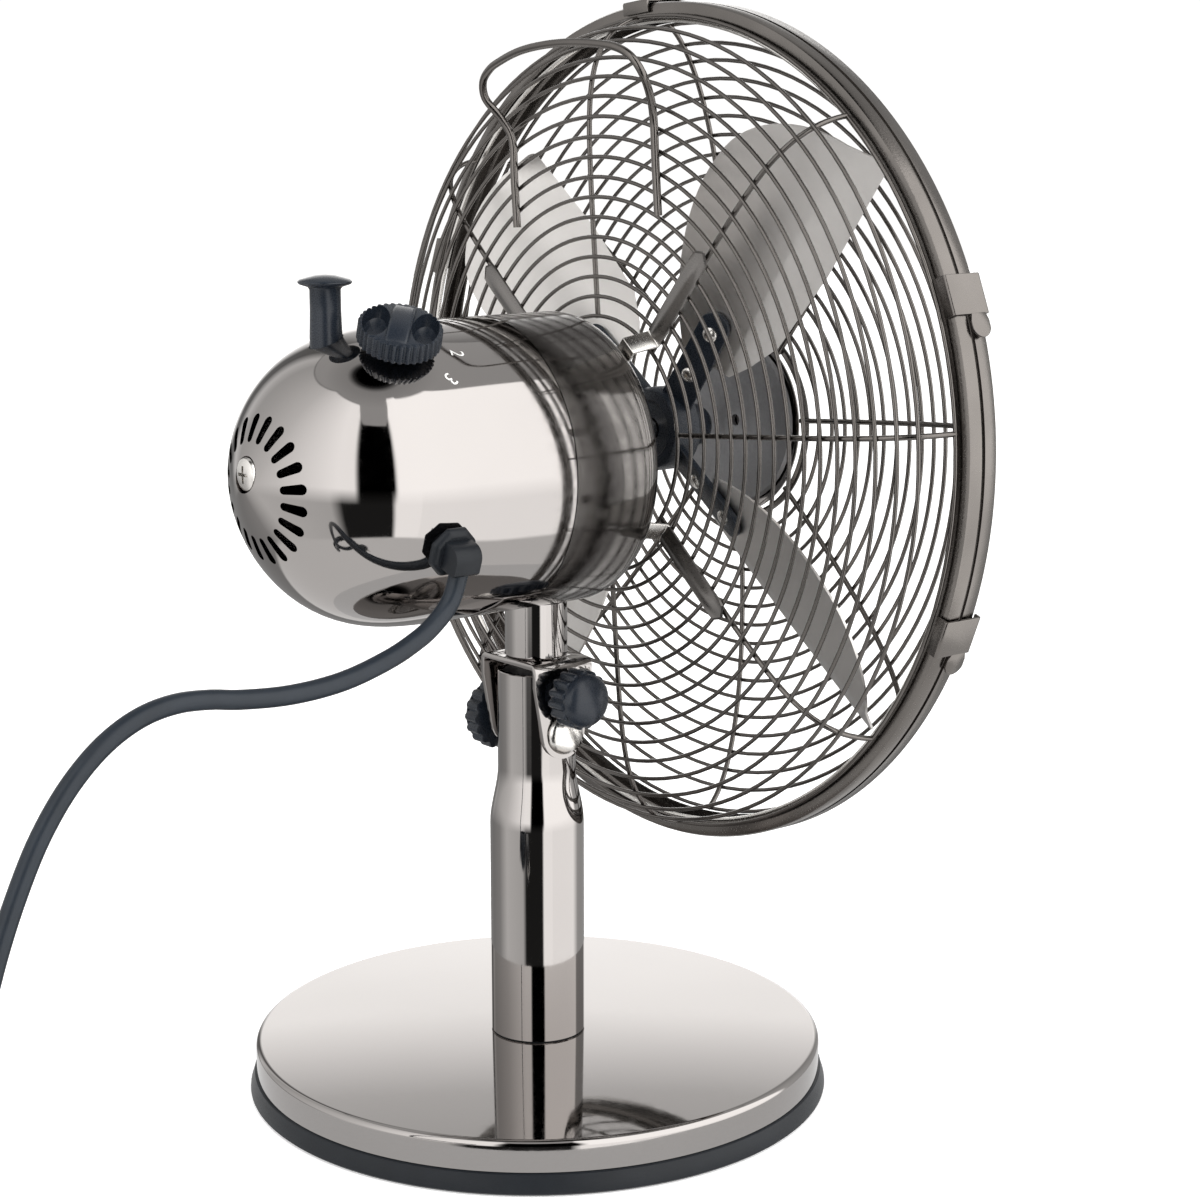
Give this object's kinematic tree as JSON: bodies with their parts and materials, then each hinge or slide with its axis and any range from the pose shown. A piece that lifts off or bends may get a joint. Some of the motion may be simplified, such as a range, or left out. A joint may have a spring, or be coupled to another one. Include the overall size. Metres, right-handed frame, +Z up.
{
  "type": "desk fan",
  "caption": "Oscillating desk fan with a round weighted base, necked column, tilt yoke, domed motor housing, wire cage with handle and pressed blades.",
  "frame": {"origin": "centre of the base's underside on the column's axis", "axes": "+Z up, -Y the way the air is blown, X along the tilt axis"},
  "size_m": [0.345, 0.5162, 0.4332],
  "materials": {
    "smoked_chrome": "smoked mirror chrome plating",
    "rim_metal": "dark plated steel, lightly grained",
    "dark_wire": "dark nickel plated wire",
    "bright_steel": "bright plated steel",
    "blade_metal": "satin pressed sheet",
    "blue_plastic": "dark blue-grey satin plastic",
    "black_plastic": "black moulded plastic",
    "cord_rubber": "blue-grey flexible jacket",
    "foam_mat": "black non-slip mat",
    "cast_alloy": "cast, matt",
    "core_steel": "laminated steel",
    "iron": "sand-cast, painted",
    "copper_wire": "varnished copper",
    "bronze": "sintered bronze"
  },
  "bodies": {
    "base": {"base_mat": "foam_mat", "base_foot": "black_plastic", "base_cover": "smoked_chrome", "base_weight": "iron", "base_washer": "bright_steel", "base_nut": "bright_steel", "column": "smoked_chrome", "column_anchor": "cast_alloy", "column_rod": "bright_steel", "column_cap": "black_plastic", "cord_tube": "cord_rubber", "cord_coil": "cord_rubber", "cord_tie": "black_plastic", "plug": "black_plastic"},
    "tilt_head": {"tilt_yoke": "smoked_chrome", "pivot_bolt": "bright_steel", "clamp_bolt": "bright_steel", "neck_post": "smoked_chrome"},
    "clamp_knob": {"clamp_knob": "blue_plastic"},
    "pivot_knob": {"pivot_knob": "blue_plastic"},
    "motor_head": {"rear_housing": "smoked_chrome", "front_housing": "smoked_chrome", "rear_screw": "bright_steel", "cord_gland": "black_plastic", "front_bracket": "cast_alloy", "front_bearing": "bronze", "front_winding": "copper_wire", "stator": "core_steel", "rear_winding": "copper_wire", "rear_bracket": "cast_alloy", "rear_bearing": "bronze", "gearbox_case": "cast_alloy", "pivot_socket": "cast_alloy", "oscillation_crank": "bronze", "speed_switch": "black_plastic", "rear_grille": "dark_wire", "front_grille": "dark_wire", "rear_rim": "rim_metal", "front_rim": "rim_metal", "badge": "smoked_chrome", "handle": "dark_wire", "grille_stay_1": "blade_metal", "grille_stay_2": "blade_metal", "grille_stay_3": "blade_metal", "grille_stay_4": "blade_metal"},
    "fan_rotor": {"motor_shaft": "bright_steel", "rotor": "core_steel", "blade_spider": "blue_plastic", "blade_1": "blade_metal", "blade_2": "blade_metal", "blade_3": "blade_metal", "blade_4": "blade_metal", "hub_nut": "blue_plastic"},
    "speed_dial": {"speed_dial": "blue_plastic"},
    "oscillation_knob": {"oscillation_knob": "blue_plastic"},
    "rim_clip_1": {"rim_clip_1": "rim_metal"},
    "rim_clip_2": {"rim_clip_2": "rim_metal"},
    "rim_clip_3": {"rim_clip_3": "rim_metal"},
    "rim_clip_4": {"rim_clip_4": "rim_metal"},
    "rim_clip_5": {"rim_clip_5": "rim_metal"}
  },
  "joints": [
    {"name": "tilt", "type": "hinge", "parent": "base", "child": "tilt_head", "pos_m": [0, 0, 0.1478], "axis": [1, 0, 0], "range_deg": [-15, 15], "deforming": ["cord_tube"]},
    {"name": "oscillation", "type": "hinge", "parent": "tilt_head", "child": "motor_head", "pos_m": [0, 0, 0.2], "axis": [0, 0, 1], "range_deg": [-40, 40], "deforming": ["cord_tube"]},
    {"name": "blade_spin", "type": "hinge", "parent": "motor_head", "child": "fan_rotor", "pos_m": [0, 0, 0.262], "axis": [0, 1, 0], "continuous": true},
    {"name": "speed_turn", "type": "hinge", "parent": "motor_head", "child": "speed_dial", "pos_m": [-0.02443, 0.0806, 0.30508], "axis": [-0.4338, 0.1444, 0.8894], "range_deg": [-120, 0]},
    {"name": "oscillation_pull", "type": "slide", "parent": "motor_head", "child": "oscillation_knob", "axis": [0, 0, 1], "range_m": [-0.008, 0]},
    {"name": "clamp_turn", "type": "hinge", "parent": "tilt_head", "child": "clamp_knob", "pos_m": [0, 0, 0.1636], "axis": [-1, 0, 0], "range_deg": [0, 360]},
    {"name": "pivot_turn", "type": "hinge", "parent": "tilt_head", "child": "pivot_knob", "pos_m": [0, 0, 0.1478], "axis": [1, 0, 0], "range_deg": [0, 360]},
    {"name": "clip_open_1", "type": "hinge", "parent": "motor_head", "child": "rim_clip_1", "pos_m": [0.01581, -0.064, 0.42624], "axis": [-0.9954, 0, 0.0958], "range_deg": [0, 100]},
    {"name": "clip_open_2", "type": "hinge", "parent": "motor_head", "child": "rim_clip_2", "pos_m": [-0.1532, -0.064, 0.32328], "axis": [-0.3714, 0, -0.9285], "range_deg": [0, 100]},
    {"name": "clip_open_3", "type": "hinge", "parent": "motor_head", "child": "rim_clip_3", "pos_m": [-0.15373, -0.064, 0.20206], "axis": [0.3633, 0, -0.9317], "range_deg": [0, 100]},
    {"name": "clip_open_4", "type": "hinge", "parent": "motor_head", "child": "rim_clip_4", "pos_m": [0.15373, -0.064, 0.20206], "axis": [0.3633, 0, 0.9317], "range_deg": [0, 100]},
    {"name": "clip_open_5", "type": "hinge", "parent": "motor_head", "child": "rim_clip_5", "pos_m": [0.1532, -0.064, 0.32328], "axis": [-0.3714, 0, 0.9285], "range_deg": [0, 100]}
  ]
}
